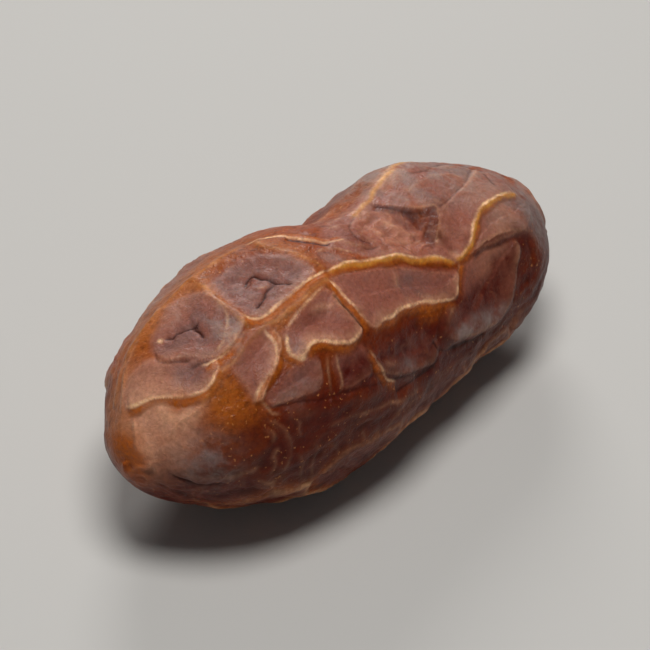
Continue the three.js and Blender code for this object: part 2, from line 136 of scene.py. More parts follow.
# Where the folds run: mm along from the middle, and degrees round from the top towards -Y.
# The steep side lies to the right of the way that a fold is listed.
FOLDS = [
    # the long golden ridge over the middle plates, and on to the stalk end
    ("ridge", (-2.9, 15.5), (-0.5, 18), (1, 20), (2.2, 22.4), (3.2, 23.3), (4.3, 25.6), (5.2, 28),
     (6.2, 31.3), (7.1, 34), (7.8, 38), (8.7, 40.5)),
    ("ridge", (8.6, 38), (9.3, 40.5), (10, 39), (10.6, 37), (11.3, 34.7), (12.1, 30.3),
     (12.8, 26.8), (13.7, 24.5), (14.7, 23), (15.6, 22.3), (16.6, 21.8), (17.8, 23), (18.8, 25.5)),
    ("lip", (6.9, 58), (7.4, 53.5), (8, 49.5), (8.6, 46), (9.1, 42)),
    # lower lips of the two plates on top, with the amber band under them
    ("lip", (-15.8, 17), (-15.1, 20), (-13.8, 20.5), (-12.6, 18.5), (-11.9, 15)),
    ("lip", (-10.9, 8), (-10.6, 13), (-9.9, 17.3), (-8, 17.2), (-6.4, 16.6), (-4.3, 15.6),
     (-2.7, 15)),
    ("band", (-17.5, 36), (-16, 30), (-14.5, 26), (-12.5, 24), (-10.5, 21.5), (-8, 22),
     (-5.5, 20.5), (-3, 18.5)),
    # frame of the four-sided plate on top, and the hollow behind it
    ("band", (-9.2, -32), (-10.1, -22), (-10.6, -10), (-10.95, 2), (-11.1, 10), (-10.9, 19)),
    ("band", (-2.9, -26), (-3.9, -20), (-3.7, -9), (-3.3, 2), (-2.9, 9), (-2.7, 15)),
    ("band", (-17.5, -40), (-15, -37), (-11.5, -33), (-8.5, -30), (-6, -28), (-4.5, -27)),
    ("lip", (1.4, 3), (0, 1), (-0.7, -4), (-1.4, -11), (-2.1, -17), (-3, -23), (-4.5, -28)),
    ("furrow", (-2.2, -14), (-1.6, -8), (-1, -2), (-0.2, 3)),
    ("thread", (0.9, 13), (0.2, 8), (-0.8, 4), (-2, 3)),
    # plates towards the tip
    ("crease", (-15.3, -17.5), (-15.1, -14.5), (-14.9, -12), (-14.5, -12), (-14.3, -9), (-13.9, -7),
     (-13.6, -5), (-13.1, -5)),
    ("crease", (-13.8, -6), (-13.7, -1), (-13.9, 4.5)),
    ("crack", (-16.7, -13.5), (-17, -9.5), (-16.8, -3), (-16.4, 1), (-16.1, 5.5), (-15.8, 10)),
    ("crack", (-16.2, 12.5), (-15.9, 14.5), (-15.4, 16), (-15, 19)),
    ("thread", (-11.3, 1), (-11.8, 5.5), (-12.6, 10.5), (-13.5, 14.5), (-14.5, 16)),
    # creases in the four-sided plate
    ("crease", (-8.2, -4.5), (-7.4, -8), (-6.9, -6.5), (-6.9, -2), (-6.7, 1), (-6.6, 6), (-6.2, 9),
     (-6, 13)),
    ("crease", (-6.7, 5.5), (-7.6, 6.5), (-8.2, 8.5), (-9, 9.5), (-9.5, 11)),
    ("dent", (-7.2, -7.5), (-7.8, -4), (-8.6, -3)),
    ("thread", (-8, 2.5), (-7.6, 4.5), (-7, 5)),
    ("lip", (-20.3, -23), (-19.9, -7), (-19.1, 6.5), (-18.4, 17), (-17.6, 26), (-16.6, 30),
     (-15.7, 29), (-15, 24.5)),
    ("strand", (-21.6, 55), (-21.5, 22), (-21, 1.5), (-20.4, -9)),
    ("strand", (-17, 35.5), (-18.1, 37), (-19.1, 38), (-20, 46)),
    ("wisp", (-19.5, 14), (-19.3, 25.5), (-19.3, 38)),
    ("strand", (-20.8, -26), (-19.5, -31), (-18, -34), (-16.4, -34.5), (-14.8, -36)),
    ("wisp", (-16.4, -38), (-18, -41), (-19.3, -46), (-20.2, -50)),
    # the two small plates left of the middle
    ("lip", (-9.2, 29.5), (-9.8, 34.5), (-10, 39), (-9.8, 43), (-9.3, 45.5)),
    ("lip", (-9.3, 43.5), (-8.8, 42), (-8.2, 40.7), (-7.5, 42), (-6.9, 45.5), (-6.2, 48.5),
     (-5.6, 50.3), (-4.6, 49), (-3.9, 47)),
    ("lip", (-14.3, 53.5), (-14.05, 50), (-13.4, 45.5), (-12.3, 42), (-11.1, 39.5), (-10.6, 35),
     (-10.3, 29.5), (-10.4, 22.5)),
    ("thread", (-9.1, 28.5), (-8, 27), (-6.8, 25), (-5.4, 23.5), (-3.9, 22.5)),
    # divider and lower lip of the long middle plate
    ("lip", (-3.4, 20), (-3.4, 27), (-3.25, 34), (-3.2, 42), (-2.95, 49.5)),
    ("crease", (-3.9, 27), (-3.8, 34), (-3.8, 41), (-3.6, 47)),
    ("lip", (-3, 49.3), (-0.9, 49.3), (0.8, 49.6), (1.9, 50.2), (3.2, 51.8), (4.4, 54.2), (5.5, 57),
     (6.7, 60)),
    # plates under them
    ("thread", (-13.9, 51), (-13.7, 55), (-13.5, 60), (-12.8, 64)),
    ("fold", (-13, 65), (-11.6, 68), (-9.8, 70), (-8.2, 72), (-6.2, 75), (-4, 79)),
    ("thread", (-7.6, 49), (-8, 55), (-8.5, 63), (-8.8, 67)),
    ("thread", (-6.9, 50), (-7.1, 56), (-7.4, 63), (-7.8, 67)),
    ("lip", (-4, 57), (-3.8, 63), (-3.6, 69), (-3.2, 75), (-2.2, 80)),
    ("crack", (-13.8, 55.5), (-11.9, 60.5), (-10.4, 63.5), (-9, 66), (-7.2, 68.5), (-5.4, 71.5),
     (-3.2, 75.5), (-0.9, 80), (2.7, 84.5)),
    ("furrow", (-2.5, 84), (0.5, 85), (3, 84)),
    ("overhang", (6.4, 62), (5, 66), (4.2, 71), (4.6, 76.5), (6, 80.5), (7.6, 83), (9.2, 86.5),
     (10.9, 89), (12, 85), (13.1, 77.5)),
    ("wisp", (-3.3, 66), (-2.2, 70), (-1, 72)),
    ("wisp", (0, 77), (0.8, 79.5), (1.9, 80.5)),
    ("furrow", (3, 72), (3.2, 79), (4.8, 84), (7, 86.5), (9, 91)),
    # the stalk end
    ("overhang", (10.2, 42), (11.4, 41.5), (12.7, 42), (14, 43), (15.2, 45.5), (16.2, 50),
     (16.8, 56), (16.7, 64), (16.3, 73), (15.9, 79)),
    ("wisp", (14.9, 50), (14.6, 57), (14.1, 63.5), (13.4, 70), (13, 74), (12, 83)),
    # the crumpled upper plate towards the stalk end
    ("overhang", (6.8, -15.5), (7.9, -7), (9, 1.5), (10.6, 8), (10.2, 13), (9.5, 17.5), (8.5, 23),
     (7.6, 29)),
    ("crack", (6.8, -13.5), (7.7, -6), (8.6, 2), (9.8, 7)),
    ("dent", (10.8, 9), (12.2, 7), (13.4, 5), (14.8, 1), (16.2, -5), (17.9, -16)),
    ("dent", (11.6, -20), (13.4, -18), (15, -24), (16.6, -29), (17.7, -25), (18.2, -14.5),
     (17.8, 3.5), (17.5, 13)),
    ("fold", (11.9, -25), (14, -28), (16.2, -33), (17.6, -31), (18.6, -25), (19.6, -15), (20.3, -4),
     (20.8, 9)),
    ("wisp", (6.2, -11.5), (5, -5.5), (4.6, 2), (5.2, 9)),
    ("wisp", (5.9, -3.5), (6.4, 3), (6.7, 9), (7.3, 14), (8.2, 17)),
    ("wisp", (4.2, 13), (5.6, 16), (7, 19.5), (7.4, 25)),
    ("wisp", (10.7, 3), (11.5, 8), (11.3, 15)),
    ("wisp", (9.6, -9), (12, -11), (14.4, -10), (15.6, -5)),
    ("wisp", (11.4, 9), (13, 8), (14.6, 4), (16.4, -2), (18.2, -12)),
    ("streak", (4.2, -13), (5.9, -16.5), (8.1, -21), (10.5, -26), (12.6, -32), (15, -37)),
    ("dent", (4.9, -13.5), (3.2, -5.5), (2.3, 5), (3.1, 11.5)),
    ("dent", (1.9, 12), (2.6, 14), (3.3, 14.5)),
    ("wisp", (-1, 4), (0.5, 3.5), (1.5, 9), (2.7, 14)),
    ("wisp", (1, -8), (2.8, -8), (4.4, -7), (5.6, -5)),
    ("wisp", (1.8, -12), (4.2, -18), (6.8, -20.5), (9.2, -22)),
    ("wisp", (2, -27), (5, -33), (8.5, -37), (12, -42)),
    ("wisp", (10.4, -24), (12.3, -22), (14.4, -21), (16.6, -17), (18, -8), (18.8, 4)),
    # faint cross streaks in the long plate and the one beside it
    ("wisp", (3.1, 30), (2.4, 34), (1.9, 40)),
    ("wisp", (-6.9, 28), (-5.6, 29), (-4.3, 32)),
    # long folds low on the near side
    ("fold", (-20.6, 80), (-19.4, 85), (-17.6, 86), (-15.6, 82), (-14.2, 74)),
    ("wisp", (-20, 92), (-18.4, 94), (-16.8, 93), (-15, 88)),
    ("fold", (-16, 101), (-13.5, 94), (-10.5, 88), (-7, 87), (-3.5, 90), (0, 91)),
    ("fold", (-13, 110), (-9, 103), (-4, 99), (1, 100), (5, 104), (8, 110)),
    ("wisp", (-2, 96), (1, 95), (4, 94.5), (7, 97)),
    ("strand", (-14, 61), (-13.3, 68), (-12.9, 76), (-12.9, 84.5), (-13.3, 92), (-13.7, 98)),
    ("strand", (-12.6, 85), (-11.9, 93.5), (-12, 102.5), (-11.1, 113.5)),
    ("strand", (-11.2, 83.5), (-10.6, 91), (-11.1, 98.5), (-11, 112)),
    ("strand", (-10.2, 97.5), (-9.7, 91.5), (-8.8, 96.5), (-8.9, 105.5), (-9.1, 116)),
    ("strand", (-8.1, 96.5), (-7.6, 104.5), (-7.5, 115.5)),
    ("strand", (-14.4, 66), (-13.9, 70.5), (-14.2, 76)),
    ("strand", (-12.2, 66.5), (-11.8, 71), (-12.1, 75.5), (-11.7, 80)),
    ("strand", (-13.6, 79), (-14.3, 84.5), (-14.2, 90), (-14.9, 96)),
    ("strand", (-6.6, 92), (-6.2, 99), (-6.3, 106)),
    ("strand", (0.4, 89.5), (-1.8, 91.5), (-3.1, 97), (-4.4, 103.5), (-5.6, 108)),
    ("strand", (-9.8, 79), (-8, 81), (-5.2, 84.5), (-1.9, 89.5), (-0.4, 91.5)),
    ("crease", (-20.5, 93), (-19.8, 101), (-18.8, 104), (-17.5, 100)),
]

# The plates: how mauve they are (0 pinkish, 1 grey mauve, its grey partly a painted sheen of soft
# light), how crinkled, how far in mm their lower edge stands up and their middle sags, how pale
# their rim is, and their outline
PLATES = [
    (0.8, 0.5, 0.18, 0.15, 0.6, (-15.4, -23), (-14.2, -25), (-12.8, -28), (-11.9, -26),
     (-11.2, -21), (-10.8, -13.5), (-10.9, -4.5), (-11.1, 0), (-10.9, 8), (-11.3, 13),
     (-12.3, 16.5), (-13.4, 17.5), (-14.4, 17.5), (-15.2, 11), (-15.7, 3.5), (-16.4, -2.5),
     (-16.6, -9.5), (-16.3, -17)),
    (0.5, 0.35, 0.16, 0.1, 0.8, (-17.5, -18), (-16.9, -4.5), (-16.1, 6.5), (-15.3, 15),
     (-14.8, 19.5), (-15, 24), (-15.7, 27.5), (-16.4, 28.5), (-17.4, 24), (-18.2, 15.5), (-19, 5),
     (-19.7, -8.5), (-20.1, -21.5), (-19.7, -28), (-19, -24.5), (-18.3, -21.5)),
    (0.95, 0.6, 0.06, 0.3, 0.5, (-9.5, -16), (-10, -6), (-10.3, 4), (-10.2, 11), (-9.5, 15.5),
     (-8, 15.8), (-6, 15.3), (-4.5, 14), (-3.7, 11), (-3.9, 5), (-4.3, -2), (-4.9, -9), (-5.5, -14),
     (-6.8, -17.5), (-8.4, -18)),
    (0.45, 0.1, 0.16, 0.15, 0.9, (-2.9, 21), (-1, 22.5), (0.6, 24.5), (2, 28), (3.6, 31.5), (5, 36),
     (6.2, 41), (7.2, 45), (7.9, 47), (7.4, 51), (6.6, 57), (5.2, 54.5), (4, 52.5), (2.5, 50),
     (0.8, 48.8), (-1.2, 48.3), (-2.7, 48), (-2.9, 40), (-3.1, 30)),
    (0.4, 0.2, 0.2, 0.15, 1.0, (-9.3, 30), (-8.3, 28.3), (-7, 26.3), (-5.6, 24.8), (-4.5, 24.3),
     (-4, 27), (-4, 34), (-3.9, 41), (-3.9, 46), (-4.6, 48.3), (-5.5, 49), (-6.2, 47), (-6.9, 43.8),
     (-7.5, 40.8), (-8.2, 39.5), (-9, 41.5), (-9.6, 41.5), (-9.6, 35)),
    (0.45, 0.2, 0.18, 0.12, 0.9, (-13.4, 25), (-12.3, 21.5), (-11.2, 21.5), (-10.2, 23), (-9.9, 26),
     (-10, 30.5), (-10.7, 36), (-11.7, 40), (-12.7, 43.5), (-13.6, 50), (-14, 50), (-14.1, 44),
     (-14, 36.5), (-13.9, 29.5)),
    (0.7, 0.5, 0.16, 0.14, 0.3, (-13.1, 56), (-13.1, 52), (-12.2, 49.5), (-10.8, 47.5), (-9.4, 46),
     (-8.6, 48), (-8.6, 52.5), (-8.9, 57.5), (-10.2, 59), (-11.7, 57.5), (-12.8, 56.5)),
    (0.6, 0.4, 0.12, 0.1, 0.2, (-6.9, 53), (-5.4, 54.5), (-4.5, 55), (-4.3, 60), (-4.5, 65),
     (-5.6, 66.5), (-7.2, 65.5), (-7.1, 59)),
    (0.75, 0.7, 0.14, 0.12, 0.35, (-3.8, 62), (-2.5, 61), (-0.5, 62), (1.4, 64.5), (3, 71),
     (3.1, 78), (2.1, 81), (0, 79), (-2, 74.5), (-3.3, 69), (-3.9, 65)),
    (0.3, 0.3, 0.18, 0.2, 0.45, (7.6, 60), (8.3, 53.5), (9.1, 47.5), (10.2, 44), (11.6, 44.5),
     (13.2, 46.5), (14.6, 49.5), (14.8, 56), (13.9, 66), (13, 76), (11.8, 84), (10.4, 88),
     (8.6, 84), (6.6, 80.5), (4.9, 77), (4.6, 71), (6, 65.5)),
    (0.6, 0.3, 0.1, 0.08, 0.3, (10.4, 40.5), (11.2, 36), (12, 32), (12.9, 28.5), (13.8, 26),
     (15.4, 24), (17, 24.2), (18.4, 28), (18.8, 36), (18.2, 44), (16.5, 49), (15, 46), (13, 43.5),
     (11.6, 42.5)),
    (0.5, 0.5, 0.04, 0.05, 0.0, (-0.6, 2), (0.6, 10), (1.6, 18), (3.2, 23), (4.3, 25.4), (6.2, 31),
     (7.8, 38), (9, 40.3), (10.6, 37), (11.4, 34), (12.1, 30), (12.8, 26.6), (14, 23.8), (15.6, 22),
     (17, 21.8), (18.3, 19), (18.8, 8), (18.4, -4), (17.2, -14), (14.8, -22), (12, -25), (8.8, -24),
     (5.6, -21), (2.8, -14), (0.6, -5)),
    (0.25, 0.75, 0.0, 0.15, 0.0, (2.4, 6), (3.1, -4), (5, -11), (7.3, -8), (8.8, 0), (10, 5),
     (10.3, 9), (9.9, 13.5), (9.2, 18.5), (8.3, 24), (7.4, 28), (6, 27), (4.6, 22), (3.4, 17),
     (2.5, 12)),
]
DOWNHILL_TURN = (0.95, 0.3, 0)  # the axis about which downhill is turned from the skin's normal
PLATE_FACING = (-0.6, 0.6)  # how far an edge faces downhill, from a full upper to a full lower one
PLATE_GROWTH = 0.2  # mm by which each plate's edge lies outside its outline
PLATE_EDGE = 0.26  # mm outside a plate where its edge starts to rise, up to half as far inside
PLATE_SAG = 1.6  # mm over which the middle sags in from the edge
PLATE_UPPER_SHARE = 0.3  # how much of the edge is left along the plate's upper side
PLATE_BLUR = (0.5, 2.2)  # how softly its colour ends at a lower edge, and how much more at others
PLATE_RAGS = (0.7, 0.12)  # size and reach of the unevenness of that end
RIM_PLACE = 0.11  # mm, how far inside the edge the pale rim runs
PALING = 0.7  # mm over which a plate pales towards its rim, partly as painted highlight
BARE_CRINKLED = 0.35  # how crinkled the skin is beside the listed plates
PLATE_SMOOTHNESS = 0.75  # how much of the bare skin's pits and specks plates and tan skin lack

# Larger hollows and swellings: place as above, half sizes along and round, and depth, in mm
HOLLOWS = [
    (2.8, -46, 2.2, 4.5, 0.8),
    (10.5, -40, 5, 4.5, -1.3),
    (-14, 0, 3, 3.2, 0.25),
    (-7, -3, 3, 3, 0.3),
    (2, 38, 4.4, 1.9, 0.3),
    (-6.4, 34, 2.6, 1.8, 0.25),
    (-7, 58, 6, 1.6, 0.45),
    (0, 67, 3.4, 2, 0.4),
    (11.5, 62, 3.6, 3, 0.3),
    (5.5, 10, 4, 2.6, 0.25),
    (9.2, 12, 1.4, 1.6, 0.1),
    (12.5, 4, 3, 3, 0.2),
    (-20.6, 45, 2.2, 4.5, 0.3),
]

# Zones of colour, by the mask they add to: place as above, half sizes in mm, and how much
ZONES = {
    "amber": [
        (-12, -40, 9, 3.8, 1.0), (-10.3, -8, 1.2, 5, 0.8), (-3.4, -8, 1.2, 4, 0.7),
        (-9, 22, 7, 1, 0.9), (-15.8, 46, 2.2, 3.2, 1.0), (-10.3, 36, 0.7, 2.5, 0.7),
        (9, -29, 5, 1.4, 0.6), (-19.6, -16, 1.6, 3, 0.4), (-20.6, -40, 2, 4, 1.0),
        (-14, -17, 2.4, 2.4, 0.6),
    ],
    # painted shadow in hollows and under lips and overhangs, over the skin's own deep red
    "deep": [
        (-10, 20.3, 1.4, 0.9, 0.35), (-13.2, 20.5, 1.5, 0.8, 0.3), (11.2, 3, 1, 1, 0.5),
        (14, 34, 2, 1.5, 0.25), (13, 80, 1.4, 2.6, 1.0), (-5.3, 72, 1.2, 1.2, 0.8),
        (-5.8, 60, 1.4, 1.2, 0.35), (-2, 74, 12, 2.6, 0.8), (-4, 95, 16, 5, 0.7),
        (-16, 78, 4, 3, 0.55), (5, 64, 2, 1.2, 0.7), (8.6, 8, 1, 1, 0.5), (14, 90, 6, 4, 0.8),
        (9.2, 10, 1.2, 0.9, 1.0), (8.7, 18, 0.5, 1, 0.9), (11.8, 75, 0.8, 1.6, 0.4),
        (15.3, 54, 1.1, 1.3, 0.9), (15.7, 68, 0.6, 2.6, 0.9), (12.4, 62, 0.5, 2.2, 0.2),
        (18.4, 74, 2, 4, 0.8), (19, 66, 1.8, 3, 0.9), (10.4, 27, 0.8, 1.2, 0.3),
        (2.3, 7, 1.2, 1.6, 0.55), (-4, 101, 14, 4, 0.8), (12, 100, 8, 4, 0.8), (2, 88, 8, 1.6, 0.6),
        (8.9, 22, 0.6, 1.6, 0.8), (-6.8, 30, 1.6, 0.9, 0.35),
    ],
    # painted glow: the orange of light coming through the thin skin in shaded places
    "flank": [
        (-13, 21, 2, 0.7, 0.5), (3.9, 59, 2, 0.7, 0.8), (-16, 56, 3, 2.4, 0.35),
        (9.3, 4.5, 0.8, 0.7, 0.3), (8.9, 13, 0.8, 1.3, 0.3), (-18.2, 24, 1.4, 0.6, 0.9),
        (-21.7, -35, 0.7, 2.8, 0.7), (-21.9, 40, 0.35, 2.2, 0.5),
    ],
    "tan": [
        (-19.9, 36, 2, 4.5, 1.0), (-20.9, 62, 1, 3.4, 0.7), (-18.6, -8, 1.8, 3, 0.5),
        (-13, -27, 3, 1.6, 0.3), (6.2, 8, 1.6, 2, 0.25), (15.5, 12, 2.6, 3, 0.3),
        (15.6, 38, 2, 1.4, 0.35), (12.2, 58, 2.6, 2.2, 0.45), (-17.6, 35, 1.4, 0.8, 0.6),
        (-10.4, 33, 1, 1, 0.4),
    ],
    # paler patches, partly painted highlight on raised skin
    "paling": [
        (-18.6, 38, 1.4, 0.8, 0.8), (-19.3, 22, 0.5, 1.6, 0.6), (-21.2, 12, 0.4, 3, 0.5),
        (-12.5, 13, 0.5, 1.3, 0.6), (8.8, 37.2, 0.5, 0.45, 1.0),
    ],
    # grey mauve, partly a painted sheen of soft light on the plates
    "mauve": [
        (-13.6, 2, 2.2, 2, 0.5), (-7, 0, 2, 2, 0.3), (-16.6, 15, 1.8, 1.3, 0.5),
        (15.5, 2, 2.4, 4, 0.6), (17.5, 34, 2, 3, 0.6), (4, 41, 2, 1.2, 0.7),
    ],
    # waxy bloom, and painted sheen along the top and end outlines
    "bloom": [
        (-12.4, 11, 0.9, 1.8, 0.9), (-11, -56, 7.5, 2.2, 0.6), (13, -46, 7, 2.6, 1.0),
        (17.5, -42, 3, 3, 0.9), (20.4, -20, 1.6, 5, 0.6), (-18.3, 80, 2.2, 2.6, 0.8),
        (19.6, 12, 1.4, 5, 0.8), (18.6, 50, 1.6, 2.4, 0.9), (6.6, 77.5, 2.4, 0.8, 0.9),
        (9.8, 83.5, 2, 0.8, 0.9), (-9.2, 36, 0.6, 1.3, 0.5), (-11, 57, 2.2, 0.9, 0.3),
        (-0.8, 78, 1.4, 1.1, 0.6), (-0.9, 10, 1.5, 1.2, 0.6), (15.5, -8, 3.5, 4, 0.35),
        (16.2, 34, 2.2, 1.8, 0.25), (11, -20, 5, 3.5, 0.6),
    ],
    "glint": [
        (-15.5, -18.3, 0.2, 0.2, 1.0), (-9.4, 43.3, 0.4, 0.22, 1.0),
    ],
}

ZONE_POWER = 1.5  # over 1 gives a zone a flatter middle and a quicker end

# The back and the underside carry the same kind of plates by rule: a plate round each seed of a
# spiral, and a lip half way between two seeds. Sizes are in mm.
NET_CELLS = 70
NET_TURN = 137.508  # degrees from one seed to the next
NET_NUDGE = 0.9  # how far a seed strays from its even place, in seeds
NET_NUDGE_STEP = 12.9898  # radians of the sine that the nudges are taken from
NET_END = 0.99  # how far out a seed may lie, as a share of the half length
NET_STRETCH = 0.6  # under 1 draws the plates out along the fruit
NET_BENDS = (10, 0.9)  # length and reach of the waves in the plates' outlines
NET_BEND_STARTS = (0, 2, 4)  # where in the wave each direction starts, in radians
NET_GAP = 0.16  # half the strip of bare skin between two plates
NET_EDGE = 0.22  # to each side of a plate's edge, over which the plate comes in
NET_STEP = 0.22  # how far a plate's lower edge stands up
NET_SAG = (0.15, 1.3)  # how far its middle sags, and over which way in from the edge
NET_RISE = (0.22, 0.7)  # height and half width of the soft fold under all edges
NET_LINE = 0.75  # strength of the pale lips
NET_LEAST = 0.5  # what is left of a lip that runs straight downhill
NET_TURNED = 0.3  # how far an edge faces downhill where its lip lies fully on the plate above
NET_BAND = (0.15, 0.8)  # from where to where the orange band of painted glow fades out below a lip
NET_PALING = 0.6  # how much a plate pales towards its lip, partly as painted highlight
NET_CRINKLED = 0.6  # how crinkled the plates are
NET_FROM = 112  # degrees round, where the net has come in fully below the near side
NET_TO = 296  # and where it starts to fade again behind the top
NET_FADE = 18  # degrees over which it comes in and fades
NET_END_FADE = (0.68, 0.9)  # shares of the half length, between which it fades at the two ends
PRESSED_SHARE = 0.25  # what is left of all relief on the pressed underside
PRESSED_SPREAD = 32  # degrees to each side of straight down, over which it comes back

# The scar that the stalk's cap leaves: a raised ring round a small pit, in mm
SCAR_RING_RADIUS = 2.7
SCAR_RING_HALF_WIDTH = 0.6
SCAR_RING_HEIGHT = 0.4
SCAR_RING_TAN = 0.6  # how tan the ring is
SCAR_PIT_RADIUS = 1.3
SCAR_PIT_DEPTH = 1.1
TIP_DIMPLE_RADIUS = 1.0
TIP_DIMPLE_DEPTH = 0.1
TIP_DIMPLE_SHADE = 0.15  # how deep red the painted shade in the dimple is

# Unevenness of the surface, each as (size, height) in mm
SWELL = (6.5, 0.45)
LUMPS = (2.2, 0.14)
LONG_WRINKLES = (0.9, 0.12)
CRINKLES = (1.0, 0.12)
CRACKS = (1.7, 0.09)
CRACK_SHARPNESS = 0.06
# painted shade in the cracks
CRACK_SHADE = 0.6
CRACKED_FROM = (0.5, 0.95)  # how crinkled the skin is where cracks start, and where all show
CRINKLED_FROM = (0.4, 1.0)  # the same for the painted light and shade of the crinkles
CRINKLE_TOPS = (0.6, 1.0)  # from where to where in its height a crinkle's top pales, as painted highlight
CRINKLE_VALLEYS = (0.45, -0.2)  # and from where to where its valley darkens, as painted shade
CRINKLE_LIGHT_AND_SHADE = (0.5, 0.5)  # how much the painted highlight pales the tops and the painted shade darkens the valleys
WRINKLE_LIGHT_AND_SHADE = (0.2, 0.5)  # the same for the long wrinkles
WRINKLE_STRETCH = 0.3  # under 1 draws the long wrinkles out along the fruit
WRINKLED_FROM = (60, 100)  # degrees round, where the long wrinkles come in
WOBBLE = (1.6, 0.18)  # size and reach of the straying of all lines and outlines
SMALL_WOBBLE = (0.5, 0.05)
SHIFTS = np.array([(31.7, 0, 0), (0, 47.3, 0), (0, 0, 23.9)])  # from one noise to the next, in mm

# Deep red on the sides away from the pale upper side: partly the skin's own colour, partly painted
# shade
PALE_SIDE = -20  # degrees round, the middle of the pale upper side
DEEP_FROM = (50, 125)  # degrees to each side of it, where the deep red starts and is full
DEEP_SHARE = 0.9  # how deep red the skin is there, partly as painted shade
DEEP_END_FADE = (0.94, 1.0)  # shares of the half length, between which it fades at the two ends
DEEP_DULLS = 0.4  # how much fainter the pale lines and bands are in it, dimmed by the painted shade

# Masks on the mesh, and the layers of colour that they let through, from the bottom up: the mask
# and colour, the patches that wear it, how much of it shows where those are low and where they are
# high, and for a thin line how far to each side it fades out, in mm. A line's mask is its strength
# near by, and a second attribute holds the way across to it, so the line stays thin and even
# between the vertices.
LAYERS = (
    ("amber", "amber", "broad", 0.75, 1.0, 0),
    ("plate", "pink", "broad", 0.9, 1.0, 0),
    ("mauve", "mauve", "middling", 0.55, 1.1, 0),
    ("tan", "tan", "middling", 0.7, 0.95, 0),
    # deep red: the skin's own colour low down, and painted shade
    ("deep", "deep", "middling", 0.7, 1.0, 0),
    ("bare", "pit", "pits", 0.0, 0.6, 0),
    # pale specks: painted glints, and specks of dried sugar
    ("bare", "glint", "glints", 0.0, 0.5, 0),
    ("glint", "crest", "fine", 0.7, 1.0, 0),
    # painted glow of light through the skin on the steep lower sides
    ("flank", "flank", "fine", 0.6, 1.0, 0),
    # painted shade in crinkle valleys and cracks and at the foot of steep sides
    ("dark", "crease", "fine", 0.75, 1.0, 0),
    # paler raised skin, partly painted highlight
    ("paling", "rim", "middling", 0.2, 0.55, 0),
    # waxy bloom, partly painted sheen
    ("bloom", "bloom", "middling", 0.1, 0.8, 0),
    # painted shade along the creases
    ("crease", "crease", "fine", 0.8, 1.0, 0.23),
    ("gold", "gold", "middling", 0.45, 0.95, 0.33),
    # pale rims and crests: partly the skin's own colour, partly painted highlight on raised edges
    ("rim", "rim", "fine", 0.2, 0.6, 0.24),
    ("crest", "crest", "fine", 0.6, 1.0, 0.25),
)
MASKS = tuple(dict.fromkeys(layer[0] for layer in LAYERS))
ACROSS = "_across"
LINES = tuple(layer[0] for layer in LAYERS if layer[-1])

# Patches of the skin's patterns: size in mm, detail, distortion, and the values of the noise that
# become 0 and 1
PATCHES = {
    "broad": (5.0, 3, 0.0, 0.35, 0.65),
    "middling": (1.3, 4, 0.6, 0.35, 0.65),
    "fine": (0.32, 3, 0.3, 0.32, 0.68),
    "pits": (0.5, 2, 0.0, 0.5, 0.75),
    "glints": (0.3, 1, 0.0, 0.68, 0.76),
    "wrinkles": (0.45, 3, 0.6, 0.0, 1.0),
    "grain": (0.12, 3, 0.0, 0.0, 1.0),
}
BUMP_DEPTH = 0.2  # mm
PORE_SHARE = 0.12  # how deep the pores are beside the wrinkles
DARK_MOTTLE = (0.87, 0.83, 0.8, 1)  # what the fine patches multiply the colour by
PALE_MOTTLE = (1.13, 1.13, 1.13, 1)
SKIN_ROUGHNESS = (0.32, 0.5)  # where the middling patches are low and high
SKIN_IOR = 1.46  # of plant wax
SKIN_SPECULAR = 0.17
GLOW_SHARE = 0.2  # of the light goes through the flesh
GLOW_REACH = (1.0, 0.35, 0.12)  # how far its red, green and blue go, as shares of the next
GLOW_SCALE = 0.5  # mm

# Soft boxes: where they stand, in mm from the fruit's middle, their size and their power in watts
LIGHTS = {
    "key_softbox": ((-20, -30, 285), 140, 0.62),
    "back_softbox": ((170, 200, 150), 120, 0.4),
    "front_fill": ((-200, -220, 120), 220, 0.04),
}
STUDIO_COLOUR = "#DDE2E8"  # of the faint light from all round
STUDIO_BRIGHTNESS = 0.07
FLOOR_SIZE = 3.0  # metres
FLOOR_ROUGHNESS = 0.9
FLOOR_SPECULAR = 0.2
SENSOR_WIDTH = 36  # mm
CLIP_SHARE = 0.01  # of the camera's distance, nearer than which it sees nothing


def linear(hex_colour):
    """An sRGB hex colour as the linear values that Blender works in."""
    channels = [int(hex_colour[i:i + 2], 16) / 255 for i in (1, 3, 5)]
    return tuple(c / 12.92 if c <= 0.04045 else ((c + 0.055) / 1.055) ** 2.4 for c in channels)


def ease(low, high, value):
    """0 below low, 1 above high, and a smooth step between."""
    share = np.clip((value - low) / (high - low), 0, 1)
    return share * share * (3 - 2 * share)


def rounded_crest(share):
    """1 on the line, and about a third one half width away."""
    return (1 + share * share) ** -1.5


def bell(share):
    """1 in the middle, about a third one half width away, and next to nothing two away."""
    return np.exp(-(share**2))


def dots(one, other):
    """The dot product of each pair of vectors."""
    return np.einsum("ij,ij->i", one, other)


def noise_at(points, size, stretch=1):
    """Soft noise from -1 to 1 at each point: lumps of a size in mm, drawn out along the fruit."""
    scaled = points / size * (stretch, 1, 1)
    return np.array([noise.noise(point) for point in scaled])


def unevenness(points, size, height):
    """Soft noise of a size and a height, both in mm."""
    return height * noise_at(points, size)


def ridged_noise(points, size, stretch=1):
    """Noise from 0 to 1 with thin raised lines, such as small wrinkles make."""
    return 1 - np.abs(noise_at(points, size, stretch)) * 2


